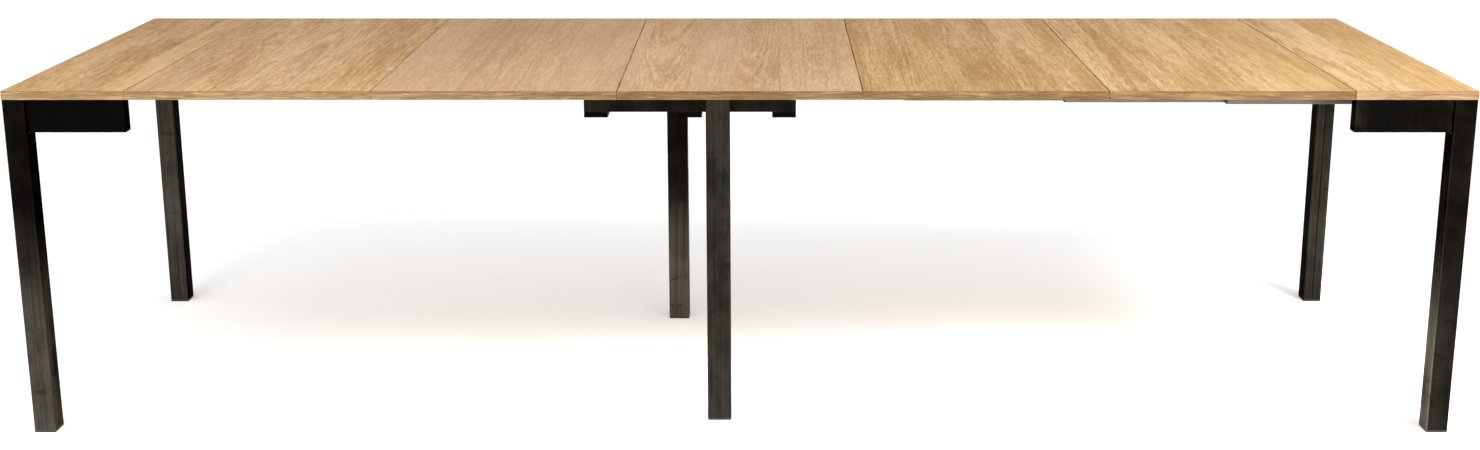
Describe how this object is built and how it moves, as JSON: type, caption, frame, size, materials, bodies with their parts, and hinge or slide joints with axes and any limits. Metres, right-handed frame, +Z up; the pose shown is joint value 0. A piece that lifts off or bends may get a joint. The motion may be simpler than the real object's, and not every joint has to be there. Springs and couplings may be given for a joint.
{
  "type": "extending dining table",
  "caption": "Long extending dining table with oak boards on black square steel legs; its end frames slide together on telescopic rails once the loose leaves are lifted out.",
  "frame": {"origin": "on the floor under the middle of the opened top", "axes": "+X along the table's length to the right as seen from the front edge, +Y from the front edge to the back edge, +Z up"},
  "size_m": [3, 0.9, 0.74],
  "materials": {
    "oak_top": "satin lacquer",
    "oak_edging": "satin lacquer",
    "black_steel": "waxed black",
    "rail_aluminium": "satin anodised",
    "black_plastic": "matte",
    "zinc_screws": "zinc"
  },
  "bodies": {
    "centre_support": {"centre_front_leg": "black_steel", "centre_back_leg": "black_steel", "centre_feet": "black_plastic", "front_beam": "black_steel", "back_beam": "black_steel", "cross_bar_left": "black_steel", "cross_bar_middle": "black_steel", "cross_bar_right": "black_steel", "slide_pads": "black_plastic", "centre_screws": "zinc_screws", "front_rail_centre": "rail_aluminium", "back_rail_centre": "rail_aluminium"},
    "right_end": {"right_end_board": "oak_top", "right_end_edging": "oak_edging", "right_front_leg": "black_steel", "right_back_leg": "black_steel", "right_feet": "black_plastic", "right_front_apron": "black_steel", "right_back_apron": "black_steel", "right_end_apron": "black_steel", "right_brackets": "black_steel", "right_screws": "zinc_screws", "front_rail_right_end": "rail_aluminium", "back_rail_right_end": "rail_aluminium"},
    "right_stage_1": {"front_rail_right_1": "rail_aluminium", "back_rail_right_1": "rail_aluminium"},
    "right_stage_2": {"front_rail_right_2": "rail_aluminium", "back_rail_right_2": "rail_aluminium"},
    "right_stage_3": {"front_rail_right_3": "rail_aluminium", "back_rail_right_3": "rail_aluminium"},
    "left_end": {"left_end_board": "oak_top", "left_end_edging": "oak_edging", "left_front_leg": "black_steel", "left_back_leg": "black_steel", "left_feet": "black_plastic", "left_front_apron": "black_steel", "left_back_apron": "black_steel", "left_end_apron": "black_steel", "left_brackets": "black_steel", "left_screws": "zinc_screws", "front_rail_left_end": "rail_aluminium", "back_rail_left_end": "rail_aluminium"},
    "left_stage_1": {"front_rail_left_1": "rail_aluminium", "back_rail_left_1": "rail_aluminium"},
    "left_stage_2": {"front_rail_left_2": "rail_aluminium", "back_rail_left_2": "rail_aluminium"},
    "left_stage_3": {"front_rail_left_3": "rail_aluminium", "back_rail_left_3": "rail_aluminium"},
    "leaf_1": {"leaf_1_board": "oak_top", "leaf_1_edging": "oak_edging"},
    "leaf_2": {"leaf_2_board": "oak_top", "leaf_2_edging": "oak_edging"},
    "leaf_3": {"leaf_3_board": "oak_top", "leaf_3_edging": "oak_edging"},
    "leaf_4": {"leaf_4_board": "oak_top", "leaf_4_edging": "oak_edging"},
    "leaf_5": {"leaf_5_board": "oak_top", "leaf_5_edging": "oak_edging"}
  },
  "joints": [
    {"name": "right_end_slide", "type": "slide", "parent": "centre_support", "child": "right_end", "axis": [1, 0, 0], "range_m": [-1.357, 0]},
    {"name": "left_end_slide", "type": "slide", "parent": "centre_support", "child": "left_end", "axis": [1, 0, 0], "range_m": [0, 1.14301]},
    {"name": "right_stage_1_slide", "type": "slide", "parent": "centre_support", "child": "right_stage_1", "axis": [1, 0, 0], "range_m": [-0.33926, 0]},
    {"name": "right_stage_2_slide", "type": "slide", "parent": "centre_support", "child": "right_stage_2", "axis": [1, 0, 0], "range_m": [-0.67851, 0]},
    {"name": "right_stage_3_slide", "type": "slide", "parent": "centre_support", "child": "right_stage_3", "axis": [1, 0, 0], "range_m": [-1.01776, 0]},
    {"name": "left_stage_1_slide", "type": "slide", "parent": "centre_support", "child": "left_stage_1", "axis": [1, 0, 0], "range_m": [0, 0.28576]},
    {"name": "left_stage_2_slide", "type": "slide", "parent": "centre_support", "child": "left_stage_2", "axis": [1, 0, 0], "range_m": [0, 0.57151]},
    {"name": "left_stage_3_slide", "type": "slide", "parent": "centre_support", "child": "left_stage_3", "axis": [1, 0, 0], "range_m": [0, 0.85726]},
    {"name": "leaf_1_lift", "type": "slide", "parent": "centre_support", "child": "leaf_1", "axis": [0, 0, 1], "range_m": [0, 0.60001]},
    {"name": "leaf_2_lift", "type": "slide", "parent": "centre_support", "child": "leaf_2", "axis": [0, 0, 1], "range_m": [0, 0.60001]},
    {"name": "leaf_3_lift", "type": "slide", "parent": "centre_support", "child": "leaf_3", "axis": [0, 0, 1], "range_m": [0, 0.60001]},
    {"name": "leaf_4_lift", "type": "slide", "parent": "centre_support", "child": "leaf_4", "axis": [0, 0, 1], "range_m": [0, 0.60001]},
    {"name": "leaf_5_lift", "type": "slide", "parent": "centre_support", "child": "leaf_5", "axis": [0, 0, 1], "range_m": [0, 0.60001]}
  ],
  "couplings": [
    {"joint": "left_end_slide", "follows": "right_end_slide", "ratio": -0.8423},
    {"joint": "right_stage_1_slide", "follows": "right_end_slide", "ratio": 0.25},
    {"joint": "right_stage_2_slide", "follows": "right_end_slide", "ratio": 0.5},
    {"joint": "right_stage_3_slide", "follows": "right_end_slide", "ratio": 0.75},
    {"joint": "left_stage_1_slide", "follows": "right_end_slide", "ratio": -0.21057},
    {"joint": "left_stage_2_slide", "follows": "right_end_slide", "ratio": -0.42115},
    {"joint": "left_stage_3_slide", "follows": "right_end_slide", "ratio": -0.63172},
    {"joint": "leaf_1_lift", "follows": "right_end_slide", "ratio": -0.44215},
    {"joint": "leaf_2_lift", "follows": "right_end_slide", "ratio": -0.44215},
    {"joint": "leaf_3_lift", "follows": "right_end_slide", "ratio": -0.44215},
    {"joint": "leaf_4_lift", "follows": "right_end_slide", "ratio": -0.44215},
    {"joint": "leaf_5_lift", "follows": "right_end_slide", "ratio": -0.44215}
  ]
}
